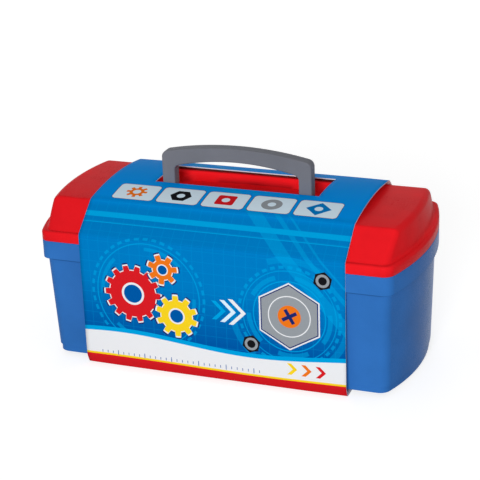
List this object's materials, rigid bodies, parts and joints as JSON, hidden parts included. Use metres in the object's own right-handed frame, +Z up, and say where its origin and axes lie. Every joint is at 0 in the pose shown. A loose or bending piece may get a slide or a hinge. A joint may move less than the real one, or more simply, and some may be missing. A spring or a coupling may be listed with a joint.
{
  "type": "toy tool box",
  "caption": "Toy tool box with a bowed-end tub, hinged lid, folding handle, front latch and a printed card sleeve, packed with a toy bench and pretend tools.",
  "frame": {"origin": "on the table, under the middle of the outline", "axes": "+X to the right along the front, +Y from the front to the hinge side, +Z up"},
  "size_m": [0.338, 0.1696, 0.1852],
  "materials": {
    "tub_plastic": "satin moulded plastic",
    "lid_plastic": "satin moulded plastic",
    "handle_plastic": "matte moulded plastic",
    "latch_plastic": "satin moulded plastic",
    "steel": "plain wire",
    "card": "glossy printed card",
    "label": "glossy sticker",
    "bench_plastic": "satin moulded plastic",
    "red_plastic": "satin moulded plastic",
    "orange_plastic": "satin moulded plastic",
    "yellow_plastic": "satin moulded plastic",
    "blue_plastic": "satin moulded plastic",
    "grey_plastic": "satin moulded plastic",
    "black_plastic": "satin moulded plastic"
  },
  "bodies": {
    "box": {"base_tub": "tub_plastic", "hinge_pin_left": "steel", "hinge_pin_right": "steel", "front_label": "label", "sleeve_base": "card", "bench_top": "bench_plastic", "bench_end_left": "bench_plastic", "bench_end_right": "bench_plastic", "hammer_handle": "red_plastic", "hammer_head": "yellow_plastic", "saw": "red_plastic", "spanner": "orange_plastic", "screwdriver_handle": "orange_plastic", "screwdriver_blade": "yellow_plastic", "pliers_lower": "blue_plastic", "pliers_pin": "steel", "wrench_body": "blue_plastic", "wrench_pin": "steel", "drill_lower_shell": "grey_plastic", "drill_upper_shell": "grey_plastic", "rule_leg_lower": "red_plastic", "rule_rivet_lower": "yellow_plastic", "bolts": "black_plastic", "nuts": "black_plastic"},
    "lid": {"lid": "lid_plastic", "latch_pin": "steel", "sleeve_cover": "card"},
    "handle": {"handle": "handle_plastic"},
    "sleeve_flap": {"sleeve_front": "card"},
    "latch": {"latch": "latch_plastic"},
    "pliers_lever": {"pliers_upper": "blue_plastic"},
    "wrench_jaw": {"wrench_jaw": "blue_plastic"},
    "wrench_wheel": {"wrench_wheel": "blue_plastic"},
    "drill_trigger": {"drill_trigger": "black_plastic"},
    "drill_spindle": {"drill_chuck": "black_plastic", "drill_bit": "grey_plastic"},
    "rule_middle": {"rule_leg_middle": "red_plastic", "rule_rivet_upper": "yellow_plastic"},
    "rule_upper": {"rule_leg_upper": "red_plastic"}
  },
  "joints": [
    {"name": "lid_hinge", "type": "hinge", "parent": "box", "child": "lid", "pos_m": [0, 0.08185, 0.112], "axis": [-1, 0, 0], "range_deg": [0, 105]},
    {"name": "handle_fold", "type": "hinge", "parent": "lid", "child": "handle", "pos_m": [0, -0.00915, 0.1427], "axis": [-1, 0, 0], "range_deg": [0, 90]},
    {"name": "sleeve_flap", "type": "hinge", "parent": "lid", "child": "sleeve_flap", "pos_m": [0, -0.08485, 0.12161], "axis": [-1, 0, 0], "range_deg": [0, 150]},
    {"name": "latch_turn", "type": "hinge", "parent": "lid", "child": "latch", "pos_m": [0, -0.08185, 0.1169], "axis": [-1, 0, 0], "range_deg": [0, 100]},
    {"name": "pliers_pivot", "type": "hinge", "parent": "box", "child": "pliers_lever", "pos_m": [0.03, 0.03335, 0.0739], "axis": [0, 0, 1], "range_deg": [0, 20]},
    {"name": "wrench_jaw_slide", "type": "slide", "parent": "box", "child": "wrench_jaw", "axis": [1, 0, 0], "range_m": [0, 0.01]},
    {"name": "wrench_wheel_turn", "type": "hinge", "parent": "box", "child": "wrench_wheel", "pos_m": [0.131, 0.02105, 0.0701], "axis": [1, 0, 0], "range_deg": [0, 360]},
    {"name": "drill_trigger_press", "type": "slide", "parent": "box", "child": "drill_trigger", "axis": [-1, 0, 0], "range_m": [0, 0.005], "stiffness_N_per_m": 200, "springref_m": -0.002},
    {"name": "drill_spindle_spin", "type": "hinge", "parent": "box", "child": "drill_spindle", "pos_m": [0.03, 0.03435, 0.0251], "axis": [1, 0, 0], "continuous": true},
    {"name": "rule_fold_lower", "type": "hinge", "parent": "box", "child": "rule_middle", "pos_m": [0.1, -0.05465, 0.011], "axis": [0, 0, -1], "range_deg": [0, 20]},
    {"name": "rule_fold_upper", "type": "hinge", "parent": "rule_middle", "child": "rule_upper", "pos_m": [-0.005, -0.05465, 0.0149], "axis": [0, 0, 1], "range_deg": [0, 20]}
  ],
  "couplings": [
    {"joint": "latch_turn", "follows": "sleeve_flap", "ratio": 0.66},
    {"joint": "wrench_wheel_turn", "follows": "wrench_jaw_slide", "rad_per_m": 628}
  ]
}
